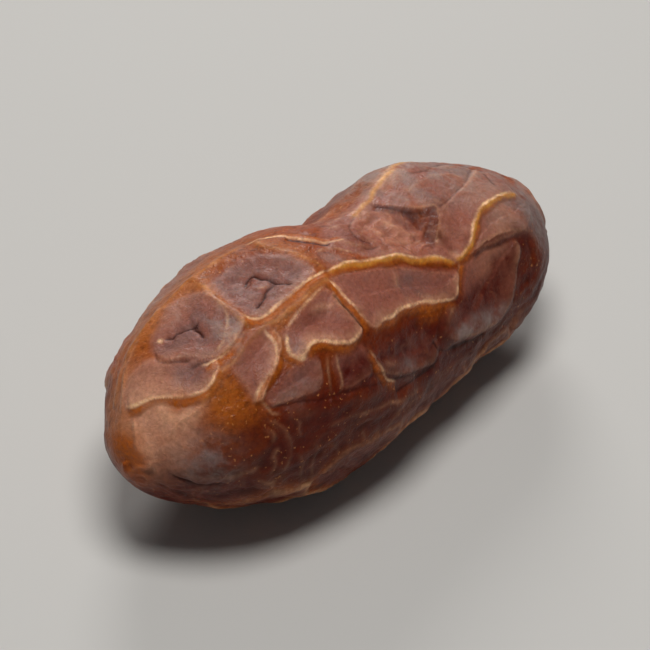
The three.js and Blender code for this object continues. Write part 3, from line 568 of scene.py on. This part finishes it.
def through(places, values, at):
    """A smooth curve through values at their places, read off at other places."""
    last = len(places) - 1
    index = np.arange(last + 1)
    before, after = np.maximum(index - 1, 0), np.minimum(index + 1, last)
    slopes = (values[after] - values[before]) / (places[after] - places[before])[:, None]
    i = np.clip(np.searchsorted(places, at, side="right") - 1, 0, last - 1)
    step = (places[i + 1] - places[i])[:, None]
    t = (at - places[i])[:, None] / step
    return (
        (2 * t**3 - 3 * t**2 + 1) * values[i]
        + (t**3 - 2 * t**2 + t) * step * slopes[i]
        + (3 * t**2 - 2 * t**3) * values[i + 1]
        + (t**3 - t**2) * step * slopes[i + 1]
    )


def section(at):
    """The centre line and closed half sizes of the body at each place from -1 to 1, in mm."""
    at = np.clip(at, -1, 1)
    sideways, middle, half_width, half_height = through(STATIONS[:, 0], STATIONS[:, 1:], at).T
    bluntness = np.where(at < 0, TIP_BLUNTNESS, STALK_END_BLUNTNESS)
    closing = (1 - np.abs(at) ** bluntness) ** CLOSING_POWER
    half_width, half_height = WIDTH * half_width * closing, HEIGHT * half_height * closing
    return WIDTH * sideways, HEIGHT * middle, half_width, half_height


def body_points(at, around):
    """Points of the smooth body: at from -1 to 1, around in radians from the top towards -Y."""
    sideways, middle, half_width, half_height = section(at)
    y = sideways - half_width * np.sin(around)
    z = middle + half_height * np.cos(around)
    return np.column_stack((at * LENGTH / 2, y, z))


def on_body(places):
    """Listed places, in mm along and degrees round, as points of the smooth body."""
    along, around = np.array(places, float).T
    return body_points(along * 2 / LENGTH, np.radians(around))


def unrolled(points):
    """Points near the body as mm along and degrees round."""
    sideways, middle, half_width, half_height = section(points[:, 0] * 2 / LENGTH)
    across = (points[:, 1] - sideways) / np.maximum(half_width, TINY)
    up = (points[:, 2] - middle) / np.maximum(half_height, TINY)
    return points[:, 0], np.degrees(np.arctan2(-across, up))


def smooth_line(points, closed=False):
    """Points every LINE_STEP along a smooth curve through the listed ones."""
    if closed:
        points = np.concatenate((points[-1:], points, points[:2]))
    lengths = np.concatenate(([0], np.cumsum(np.linalg.norm(np.diff(points, axis=0), axis=1))))
    first, last = (lengths[1], lengths[-2]) if closed else (lengths[0], lengths[-1])
    count = max(2, math.ceil((last - first) / LINE_STEP) + 1)
    return through(lengths, points, np.linspace(first, last, count))


def near(points, line):
    """Which points lie in the line's box, widened by FOLD_REACH."""
    low, high = line.min(0) - FOLD_REACH, line.max(0) + FOLD_REACH
    return np.flatnonzero(((points > low) & (points < high)).all(1))


def measure(points, normals, line):
    """Each point's distance to a line, on which side it lies (1 right, -1 left), how far from the
    ends, and the way to it from the line."""
    nearest = np.full(len(points), np.inf)
    way = np.zeros(points.shape)
    side = np.zeros(len(points))
    place = np.zeros(len(points))
    for index, (start, end) in enumerate(zip(line[:-1], line[1:])):
        run = end - start
        share = np.clip((points - start) @ run / (run @ run), 0, 1)
        away = points - start - share[:, None] * run
        distance = np.linalg.norm(away, axis=1)
        closer = np.flatnonzero(distance < nearest)
        nearest[closer] = distance[closer]
        way[closer] = away[closer]
        side[closer] = np.sign(dots(np.cross(run, normals[closer]), away[closer]))
        place[closer] = index + share[closer]
    from_end = np.minimum(place, len(line) - 1 - place) * LINE_STEP
    return nearest, side, from_end, way


def add_mark(mask, values, i=...):
    """Raises a colour mask to the given values where they are higher, at all points or at some."""
    mask[i] = np.maximum(mask[i], values)


def sum_of_crests(raised, height):
    """Adds a crest to what is already raised, without piling up where two meet."""
    return np.cbrt(raised**3 + np.maximum(height, 0) ** 3)


def crest_shine(points):
    """How pale a crest or rim is along its way, from 0 to about 1."""
    patches = sum(unevenness(points, *listed) for listed in CREST_PATCHES)
    return np.clip(CREST_SHARE + patches, *CREST_LIMITS)


def add_line(masks, name, i, amount, across):
    """Marks a thin line of colour: its strength near by, and each point's way across to it."""
    amount = amount * bell(across / LINE_REACH)
    stronger = amount > masks[name][i]
    masks[name][i[stronger]] = amount[stronger]
    masks[name + ACROSS][i[stronger]] = across[stronger]


def add_folds(points, normals, masks):
    """The listed folds: their height, and their marks on the colour masks."""
    raised = np.zeros(len(points))
    sunk = np.zeros(len(points))
    uneven = 1 + unevenness(points, *FOLD_UNEVEN)
    shine = crest_shine(points)
    wavering = unevenness(points, *GOLD_WAVER)
    for kind, *places in FOLDS:
        height, gentle, steep, pale, soft, gold, under, colour = FOLD_KINDS[kind]
        line = smooth_line(on_body(places))
        i = near(points, line)
        nearest, side, from_end, _ = measure(points[i], normals[i], line)
        taper = ease(TAPER_START, FOLD_TAPER if height > 0 else CREASE_TAPER, from_end) * uneven[i]
        profile = rounded_crest(nearest / np.where(side > 0, steep, gentle)) * taper
        below = nearest * side
        if height < 0:
            sunk[i] += height * profile
            # painted shade in the crease, the darker the deeper it is
            add_line(masks, "crease", i, min(1, -height / DARK_CREASE) * taper, below)
            continue
        raised[i] = sum_of_crests(raised[i], height * profile)
        add_mark(masks["paling"], soft * profile * shine[i], i)
        add_line(masks, "crest", i, pale * taper * shine[i], below - CREST_PLACE)
        add_line(masks, "gold", i, gold * taper, below - GOLD_PLACE - wavering[i])
        # the band under the steep side: painted glow of light through the skin, or painted shade
        if colour:
            width = under * uneven[i]
            # a painted shade line at its foot, where the skin is also drawn in a little
            foot = bell((below - width) / FOOT_HALF_WIDTH) * taper
            sunk[i] -= FOOT_DEPTH * foot
            add_mark(masks["dark"], FOOT_SHADE * foot, i)
            begun = ease(-BAND_EDGE, BAND_EDGE, below)
            ended = ease(*BAND_FADE, below / width)
            add_mark(masks[colour], begun * (1 - ended) * taper, i)
    return raised + sunk


def inside_outline(along, around, outline):
    """Whether each place lies in a closed outline: a way out crosses it an odd number of times."""
    inside = np.zeros(len(along), bool)
    for (x0, y0), (x1, y1) in zip(outline, np.roll(outline, -1, axis=0)):
        if y0 == y1:
            continue
        border = x0 + (around - y0) * (x1 - x0) / (y1 - y0)
        inside ^= ((y0 > around) != (y1 > around)) & (along < border)
    return inside


def add_plates(points, normals, masks):
    """The listed plates: their height, their marks on the masks, and how crinkled each point is."""
    height = np.zeros(len(points))
    crinkled = np.full(len(points), BARE_CRINKLED)
    ragged = unevenness(points, *PLATE_RAGS)
    masks["bare"] += 1
    shine = crest_shine(points)
    for mauve, crinkle, step, sag, rim, *places in PLATES:
        outline = smooth_line(on_body(places), closed=True)
        i = near(points, outline)
        nearest, _, _, way = measure(points[i], normals[i], outline)
        along, around = unrolled(points[i])
        inside = inside_outline(along, around, np.column_stack(unrolled(outline)))
        inward = np.where(inside, nearest, -nearest) + PLATE_GROWTH
        downhill = np.cross(DOWNHILL_TURN, normals[i])
        faced = dots(way, downhill) / np.maximum(nearest, TINY) * np.where(inside, -1, 1)
        lower = PLATE_UPPER_SHARE + (1 - PLATE_UPPER_SHARE) * ease(*PLATE_FACING, faced)
        edge = ease(-PLATE_EDGE, PLATE_EDGE / 2, inward)
        height[i] += step * lower * edge - sag * ease(PLATE_EDGE / 2, PLATE_SAG, inward)
        blur = PLATE_EDGE * (PLATE_BLUR[0] + PLATE_BLUR[1] * (1 - lower))
        share = ease(-blur, blur, inward + ragged[i])
        add_mark(masks["plate"], share, i)
        masks["mauve"][i] = masks["mauve"][i] * (1 - share) + mauve * share
        masks["bare"][i] *= 1 - PLATE_SMOOTHNESS * share
        add_mark(masks["paling"], rim * lower**2 * share * bell(inward / PALING), i)
        add_line(masks, "rim", i, rim * lower**2 * shine[i], inward - RIM_PLACE)
        crinkled[i] = crinkled[i] * (1 - share) + crinkle * share
    return height, crinkled


def spot(points, along, around, half_along, half_around, power=1):
    """1 in the middle of a listed spot, and about a third one half size away."""
    away = (points - on_body([(along, around)])) / (half_along, half_around, half_around)
    return np.exp(-((away**2).sum(1) ** power))


def add_hollows(points):
    """The larger hollows and swellings of the body."""
    return -sum(depth * spot(points, *place) for *place, depth in HOLLOWS)


def add_zones(points, masks):
    """The zones of colour."""
    for name, zones in ZONES.items():
        for *place, amount in zones:
            masks[name] += amount * spot(points, *place, ZONE_POWER)


def net_seeds():
    """The seeds of the net: an even spiral over the body, each nudged a little by a fixed rule."""
    index = np.arange(NET_CELLS)
    nudge = NET_NUDGE * np.sin(index * NET_NUDGE_STEP)
    at = np.clip(-1 + 2 * (index + 0.5 + nudge) / NET_CELLS, -NET_END, NET_END)
    return body_points(at, np.radians(index * NET_TURN))


def net_share(at, around):
    """How much of the net shows: all behind and below, none on the listed side and at the ends."""
    turned = around % 360
    begun = ease(NET_FROM - NET_FADE, NET_FROM, turned)
    ended = ease(NET_TO, NET_TO + NET_FADE, turned)
    return begun * (1 - ended) * (1 - ease(*NET_END_FADE, np.abs(at)))


def add_net(points, normals, shown, masks):
    """The plates by rule on the hidden sides: their height, and their marks on the colour masks."""
    seeds = net_seeds()
    size, reach = NET_BENDS
    bends = reach * np.sin(points[:, (1, 2, 0)] * 2 * math.pi / size + NET_BEND_STARTS)
    away = np.linalg.norm((points[:, None] + bends[:, None] - seeds) * (NET_STRETCH, 1, 1), axis=2)
    order = np.argsort(away, axis=1)[:, :2]
    first, second = np.take_along_axis(away, order, axis=1).T
    border = (second - first) / 2
    inward = border - NET_GAP
    outward = seeds[order[:, 1]] - seeds[order[:, 0]]
    faced = dots(outward, np.cross(normals, DOWNHILL_TURN)) / np.linalg.norm(outward, axis=1)
    lower = ease(*PLATE_FACING, faced)
    tone = 0.5 + 0.5 * np.sin(order[:, 0] * NET_NUDGE_STEP)
    share = shown * ease(-NET_EDGE, NET_EDGE, inward)
    add_mark(masks["plate"], share)
    masks["mauve"] += tone * share * (1 - masks["mauve"])
    masks["bare"] *= 1 - PLATE_SMOOTHNESS * share
    # the way across to the lip of the plate above, which runs unbroken over the border of the two
    above = np.sign(faced) * border - NET_GAP * np.clip(np.abs(faced) / NET_TURNED, 0, 1)
    lip = shown * (NET_LEAST + (1 - NET_LEAST) * ease(0, PLATE_FACING[1], np.abs(faced)))
    everywhere = np.arange(len(points))
    add_line(masks, "crest", everywhere, NET_LINE * lip * crest_shine(points), above)
    add_mark(masks["paling"], NET_PALING * share * lower * bell(inward / PALING))
    # the orange band below each lip: painted glow of light through the skin
    begun, ended = ease(NET_EDGE, 0, above), ease(*NET_BAND, -above)
    add_mark(masks["flank"], lip * begun * (1 - ended))
    step = NET_STEP * lower * ease(-NET_EDGE, NET_EDGE / 2, inward)
    sag = NET_SAG[0] * ease(0, NET_SAG[1], inward)
    return shown * (step - sag + NET_RISE[0] * rounded_crest(inward / NET_RISE[1]))


def add_ends(points, masks):
    """The ring and pit of the stalk scar, and the dimple at the tip."""
    scar, tip = body_points(np.array([1.0, -1.0]), np.zeros(2))
    stalk_end = points[:, 0] > 0
    radius = np.hypot(*(points - np.where(stalk_end[:, None], scar, tip)).T[1:])
    ring = rounded_crest((radius - SCAR_RING_RADIUS) / SCAR_RING_HALF_WIDTH) * stalk_end
    pit = bell(radius / SCAR_PIT_RADIUS) * stalk_end
    dimple = bell(radius / TIP_DIMPLE_RADIUS) * ~stalk_end
    masks["tan"] += SCAR_RING_TAN * ring
    # the scar's pit turns deep red, and the tip's dimple gets painted shade
    masks["deep"] += pit + TIP_DIMPLE_SHADE * dimple
    return SCAR_RING_HEIGHT * ring - SCAR_PIT_DEPTH * pit - TIP_DIMPLE_DEPTH * dimple


def skin_relief(points, normals, settings):
    """The relief of the skin at points of the smooth body, in mm, and the masks that colour it."""
    masks = {name: np.zeros(len(points)) for name in (*MASKS, *(line + ACROSS for line in LINES))}
    wobble = np.column_stack([
        unevenness(points + shift, *WOBBLE) + unevenness(points + shift, *SMALL_WOBBLE)
        for shift in SHIFTS
    ])
    strayed = points + wobble
    along, around = unrolled(points)
    shown = net_share(along * 2 / LENGTH, around)
    plates, crinkled = add_plates(strayed, normals, masks)
    folds = add_folds(strayed, normals, masks)
    net = add_net(strayed, normals, shown, masks)
    add_zones(strayed, masks)
    masks["bare"] *= 1 - PLATE_SMOOTHNESS * np.clip(masks["tan"], 0, 1)
    # deep red away from the pale upper side: partly the skin's own colour, partly painted shade
    from_pale = np.abs((around - PALE_SIDE + 180) % 360 - 180)
    from_ends = 1 - ease(*DEEP_END_FADE, np.abs(along) * 2 / LENGTH)
    masks["deep"] += DEEP_SHARE * ease(*DEEP_FROM, from_pale) * from_ends
    crinkled = np.maximum(crinkled, NET_CRINKLED * shown)
    cracks = bell(noise_at(strayed, CRACKS[0]) / CRACK_SHARPNESS)
    cracks *= ease(*CRACKED_FROM, crinkled)
    crinkles = ridged_noise(strayed, CRINKLES[0])
    wrinkles = ridged_noise(strayed, LONG_WRINKLES[0], WRINKLE_STRETCH)
    lengthwise = np.clip(ease(*WRINKLED_FROM, around) + shown, 0, 1)
    # paler tops and darker valleys of the crinkles and long wrinkles: painted highlight and painted
    # shade
    for rough, weight, (top, valley) in (
        (crinkles, ease(*CRINKLED_FROM, crinkled), CRINKLE_LIGHT_AND_SHADE),
        (wrinkles, lengthwise, WRINKLE_LIGHT_AND_SHADE),
    ):
        add_mark(masks["paling"], top * weight * ease(*CRINKLE_TOPS, rough))
        add_mark(masks["dark"], valley * weight * ease(*CRINKLE_VALLEYS, rough))
    # painted shade in the cracks
    add_mark(masks["dark"], CRACK_SHADE * cracks)
    # the painted shade dims the pale lines and bands
    for name in ("paling", "flank", "rim", "crest"):
        masks[name] *= 1 - DEEP_DULLS * np.clip(masks["deep"], 0, 1)
    height = (
        unevenness(points, *SWELL)
        + unevenness(points, *LUMPS)
        + settings.fold_height * (folds + net)
        + settings.plate_depth * plates
        - settings.wrinkle_depth * CRACKS[1] * cracks
        + settings.wrinkle_depth * CRINKLES[1] * crinkled * crinkles
        + settings.wrinkle_depth * LONG_WRINKLES[1] * lengthwise * wrinkles
        + add_hollows(points)
        + add_ends(points, masks)
    )
    for name in MASKS:
        masks[name] = np.clip(masks[name], 0, 1)
    turned = np.degrees(np.arctan2(-normals[:, 1], normals[:, 2]))
    pressed = bell((turned % 360 - 180) / PRESSED_SPREAD)
    return height * (1 + (PRESSED_SHARE - 1) * pressed), masks


def unit_sphere_places(bm):
    """Where each vertex of the sphere goes on the body: at from -1 to 1, and around in radians."""
    across, up, polar = np.array([v.co for v in bm.verts]).T
    angle = np.arccos(np.clip(polar, -1, 1))
    even = np.arctan2(-across, up)
    around = even - COLUMN_CROWDING * np.sin(even - math.radians(CROWDED_SIDE))
    return np.cos(angle + RING_CROWDING * np.sin(2 * angle)), around


def move_vertices(bm, points):
    """Puts each vertex at its point, given in mm."""
    for vertex, point in zip(bm.verts, points * MM):
        vertex.co = point
    bm.normal_update()


def settled(points):
    """The points pressed flat underneath, and fitted to the fruit's box."""
    floor = points[:, 2].min() + REST_PRESS
    points[:, 2] = np.maximum(points[:, 2], floor)
    low, high = points.min(0), points.max(0)
    return BOX_LOW + (points - low) * (BOX_HIGH - BOX_LOW) / (high - low)


def add_node(tree, kind, settings=(), inputs=()):
    """Adds a node with its settings. Each input, by name or place, gets a value, or a link from a
    socket or from a node's first output."""
    node = tree.nodes.new(kind)
    for name, value in dict(settings).items():
        setattr(node, name, value)
    sockets = [socket for socket in node.inputs if socket.enabled]
    for key, value in dict(inputs).items():
        socket = sockets[key] if isinstance(key, int) else node.inputs[key]
        if isinstance(value, bpy.types.Node):
            value = next(output for output in value.outputs if output.enabled)
        if isinstance(value, bpy.types.NodeSocket):
            tree.links.new(value, socket)
        else:
            socket.default_value = value
    return node


def dried_date_skin(settings):
    """Dried date skin: thin, waxy, and half clear where it stands off the dark flesh in folds."""
    material = bpy.data.materials.new("dried_date_skin")
    material.use_nodes = True
    tree = material.node_tree
    tree.nodes.clear()
    node = partial(add_node, tree)

    place = node("ShaderNodeTexCoord").outputs["Object"]
    patches = {}
    for name, (size, detail, distortion, low, high) in PATCHES.items():
        noise_node = node("ShaderNodeTexNoise", inputs={
            "Vector": place, "Scale": 1 / (size * MM), "Detail": detail, "Distortion": distortion,
        })
        patches[name] = node("ShaderNodeMapRange", inputs={0: noise_node, 1: low, 2: high})

    # the bare skin runs from brown to dark amber, and the masked layers lie over it
    in_colour = {"data_type": "RGBA"}
    bare = {0: patches["broad"], 1: (*settings.brown, 1), 2: (*settings.umber, 1)}
    skin = node("ShaderNodeMix", in_colour, bare)
    for mask, colour, pattern, least, most, half_width in LAYERS:
        marked = node("ShaderNodeAttribute", {"attribute_name": mask}).outputs["Fac"]
        worn = node("ShaderNodeMapRange", inputs={0: patches[pattern], 3: least, 4: most})
        if half_width:
            across = node("ShaderNodeAttribute", {"attribute_name": mask + ACROSS}).outputs["Fac"]
            away = node("ShaderNodeMath", {"operation": "ABSOLUTE"}, {0: across})
            line = {0: away, 2: half_width, 3: worn, 4: 0}
            worn = node("ShaderNodeMapRange", {"interpolation_type": "SMOOTHSTEP"}, line)
        clamped = {"operation": "MULTIPLY", "use_clamp": True}
        cover = node("ShaderNodeMath", clamped, {0: marked, 1: worn})
        layer = {0: cover, 1: skin, 2: (*getattr(settings, colour), 1)}
        skin = node("ShaderNodeMix", in_colour, layer)
    mottle = node("ShaderNodeMix", in_colour, {0: patches["fine"], 1: DARK_MOTTLE, 2: PALE_MOTTLE})
    multiplied = {**in_colour, "blend_type": "MULTIPLY"}
    skin = node("ShaderNodeMix", multiplied, {0: 1.0, 1: skin, 2: mottle})

    # fine wrinkles are the sharp valleys of a soft noise, and the grain is the skin's pores
    centred = node("ShaderNodeMath", {"operation": "SUBTRACT"}, {0: patches["wrinkles"], 1: 0.5})
    valleys = node("ShaderNodeMath", {"operation": "ABSOLUTE"}, {0: centred})
    pores = node("ShaderNodeMath", {"operation": "MULTIPLY"}, {0: patches["grain"], 1: PORE_SHARE})
    surface = node("ShaderNodeMath", {"operation": "ADD"}, {0: valleys, 1: pores})
    bump = {"Strength": settings.bump_strength, "Distance": BUMP_DEPTH * MM, "Height": surface}
    smooth, dull = SKIN_ROUGHNESS
    roughness = node("ShaderNodeMapRange", inputs={0: patches["middling"], 3: smooth, 4: dull})
    shader = node("ShaderNodeBsdfPrincipled", inputs={
        "Base Color": skin,
        "Roughness": roughness,
        "IOR": SKIN_IOR,
        "Specular IOR Level": SKIN_SPECULAR,
        "Normal": node("ShaderNodeBump", inputs=bump),
        "Subsurface Weight": GLOW_SHARE,
        "Subsurface Radius": GLOW_REACH,
        "Subsurface Scale": GLOW_SCALE * MM,
    })
    node("ShaderNodeOutputMaterial", inputs={"Surface": shader})
    return material


def matt_pale_paper(settings):
    """Matt pale paper, smooth enough to show no grain at this distance."""
    material = bpy.data.materials.new("matt_pale_paper")
    material.use_nodes = True
    shader = material.node_tree.nodes["Principled BSDF"]
    shader.inputs["Base Color"].default_value = (*settings.floor_colour, 1)
    shader.inputs["Roughness"].default_value = FLOOR_ROUGHNESS
    shader.inputs["Specular IOR Level"].default_value = FLOOR_SPECULAR
    return material


def new_object(name, bm):
    """A bmesh as a smooth-shaded object at the origin."""
    mesh = bpy.data.meshes.new(name)
    bm.to_mesh(mesh)
    bm.free()
    mesh.shade_smooth()
    piece = bpy.data.objects.new(name, mesh)
    bpy.context.scene.collection.objects.link(piece)
    return piece


def add_aimed(name, data, way, scale):
    """Adds a light or the camera, which stands a scaled way off from the fruit and faces it."""
    aimed = bpy.data.objects.new(name, data)
    aimed.location = Vector((BOX_LOW + BOX_HIGH) / 2 * MM) + way * scale
    aimed.rotation_euler = way.to_track_quat("Z", "Y").to_euler()
    bpy.context.scene.collection.objects.link(aimed)
    return aimed


def share_property(name, description, default=1, most=2):
    """A share of the real height or depth that the user can change."""
    return bpy.props.FloatProperty(
        name=name, description=description, default=default, min=0, max=most, subtype="FACTOR",
    )


def colour_property(name, description, hex_colour):
    """A colour that the user can change."""
    return bpy.props.FloatVectorProperty(
        name=name, description=description, default=linear(hex_colour),
        size=3, subtype="COLOR", min=0, max=1,
    )


class DateSettings(bpy.types.PropertyGroup):
    """Sizes and colours of the fruit's skin."""

    fold_height: share_property("Fold height", "How high the folds are, as a share of real ones")
    plate_depth: share_property("Plate depth", "How far the plates sink, as a share of real ones")
    wrinkle_depth: share_property("Wrinkle depth", "Depth of the small wrinkles, as a share")
    bump_strength: share_property("Fine grain", "Strength of the finest wrinkles and pores", 0.6, 1)
    amber: colour_property("Amber", "Half-clear skin between the plates", "#A85A1C")
    umber: colour_property("Dark amber", "Bare skin in its paler patches", "#984412")
    brown: colour_property("Brown", "Bare skin over dark flesh", "#762C0A")
    # deep red, partly the skin's own colour and partly painted shade; in hollows and under folds
    # painted shadow
    deep: colour_property("Deep red", "Skin low on the fruit and in hollows", "#4E0C03")
    pink: colour_property("Pinkish brown", "The warmer plates", "#A05C48")
    # grey mauve, partly a painted sheen of soft light on the plates
    mauve: colour_property("Mauve", "The cooler plates", "#805850")
    tan: colour_property("Tan", "The smooth, tight skin near the tip", "#D2987A")
    # pale specks: painted glints of light, and specks of dried sugar
    pit: colour_property("Pit", "Small dark pits in the bare skin", "#401408")
    glint: colour_property("Glint", "Fine specks of dried sugar", "#D08A50")
    # painted glow of light through the skin, brightened where the steep side lies in shade
    flank: colour_property("Flank", "The steep lower side of a fold", "#AC560E")
    gold: colour_property("Gold", "The main ridges", "#E8A444")
    # rim and crest: pale edges, partly their own colour and partly painted highlight where they
    # meet the light
    rim: colour_property("Rim", "The thin edge of a plate", "#F0B48C")
    crest: colour_property("Crest", "The thin pale top of a fold", "#FAC898")
    # painted shade, at the bottom of creases, cracks and crinkle valleys and the foot of steep
    # sides
    crease: colour_property("Crease", "The bottom of a crease", "#36100A")
    # waxy film, and painted sheen of soft light on the skin
    bloom: colour_property("Bloom", "Waxy film on the skin", "#94827C")


class StageSettings(bpy.types.PropertyGroup):
    """Floor, light and camera."""

    floor_colour: colour_property("Floor", "Colour of the floor", "#C8C5C0")
    azimuth: bpy.props.FloatProperty(
        name="Azimuth", description="Side that the camera looks from",
        default=math.radians(-46.4), subtype="ANGLE",
    )
    elevation: bpy.props.FloatProperty(
        name="Elevation", description="Height of the camera above the horizon",
        default=math.radians(40), subtype="ANGLE",
    )
    distance: bpy.props.FloatProperty(
        name="Distance", description="From the camera to the fruit",
        default=0.45, min=0.1, unit="LENGTH",
    )
    frame_width: bpy.props.FloatProperty(
        name="Frame width", description="How wide a strip the picture shows at the fruit",
        default=0.05, min=0.01, unit="LENGTH",
    )


class DATE_OT_add_fruit(bpy.types.Operator):
    """Model the dried fruit with its folds, plates and stalk scar"""

    bl_idname = "date.add_fruit"
    bl_label = "Add fruit"

    def execute(self, context):
        settings = context.scene.date_settings
        bm = bmesh.new()
        bmesh.ops.create_uvsphere(bm, u_segments=COLUMNS, v_segments=RINGS, radius=1)
        points = body_points(*unit_sphere_places(bm))
        move_vertices(bm, points)
        normals = np.array([v.normal for v in bm.verts])
        height, masks = skin_relief(points, normals, settings)
        move_vertices(bm, settled(points + normals * height[:, None]))
        fruit = new_object("date_skin", bm)
        for name, values in masks.items():
            attribute = fruit.data.attributes.new(name, "FLOAT", "POINT")
            attribute.data.foreach_set("value", values.astype(np.float32))
        fruit.data.materials.append(dried_date_skin(settings))
        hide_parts("date")
        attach(fruit, "root")
        return {"FINISHED"}


class DATE_OT_add_stage(bpy.types.Operator):
    """Set the pale floor, the soft studio light and the camera"""

    bl_idname = "date.add_stage"
    bl_label = "Add stage"

    def execute(self, context):
        settings = context.scene.date_stage
        bm = bmesh.new()
        bmesh.ops.create_grid(bm, x_segments=1, y_segments=1, size=FLOOR_SIZE / 2)
        floor = new_object("floor", bm)
        floor.data.materials.append(matt_pale_paper(settings))
        for name, (place, size, power) in LIGHTS.items():
            data = bpy.data.lights.new(name, "AREA")
            data.shape = "DISK"
            data.size = size * MM
            data.energy = power
            add_aimed(name, data, Vector(place), MM)
        world = bpy.data.worlds.new("studio")
        world.use_nodes = True
        backdrop = world.node_tree.nodes["Background"]
        backdrop.inputs["Color"].default_value = (*linear(STUDIO_COLOUR), 1)
        backdrop.inputs["Strength"].default_value = STUDIO_BRIGHTNESS
        context.scene.world = world
        turn, tilt = settings.azimuth, settings.elevation
        back = Vector((
            math.sin(turn) * math.cos(tilt), -math.cos(turn) * math.cos(tilt), math.sin(tilt),
        ))
        camera = add_aimed("camera", bpy.data.cameras.new("camera"), back, settings.distance)
        camera.data.sensor_width = SENSOR_WIDTH
        camera.data.lens = SENSOR_WIDTH * settings.distance / settings.frame_width
        camera.data.clip_start = settings.distance * CLIP_SHARE
        context.scene.camera = camera
        context.scene.view_settings.view_transform = "Standard"
        return {"FINISHED"}


class DATE_PT_panel(bpy.types.Panel):
    """The fruit and its stage"""

    bl_label = "Piarom date"
    bl_idname = "DATE_PT_panel"
    bl_space_type = "VIEW_3D"
    bl_region_type = "UI"
    bl_category = "Date"

    def draw(self, context):
        for settings, operator in (
            (context.scene.date_settings, DATE_OT_add_fruit),
            (context.scene.date_stage, DATE_OT_add_stage),
        ):
            box = self.layout.box()
            for name in settings.bl_rna.properties.keys():
                if name not in ("rna_type", "name"):
                    box.prop(settings, name)
            box.operator(operator.bl_idname)


CLASSES = (DateSettings, StageSettings, DATE_OT_add_fruit, DATE_OT_add_stage, DATE_PT_panel)


def register():
    for item in CLASSES:
        bpy.utils.register_class(item)
    bpy.types.Scene.date_settings = bpy.props.PointerProperty(type=DateSettings)
    bpy.types.Scene.date_stage = bpy.props.PointerProperty(type=StageSettings)


def unregister():
    del bpy.types.Scene.date_stage
    del bpy.types.Scene.date_settings
    for item in reversed(CLASSES):
        bpy.utils.unregister_class(item)


def main():
    register()
    bpy.ops.date.add_fruit()
    bpy.ops.date.add_stage()


if __name__ == "__main__":
    main()
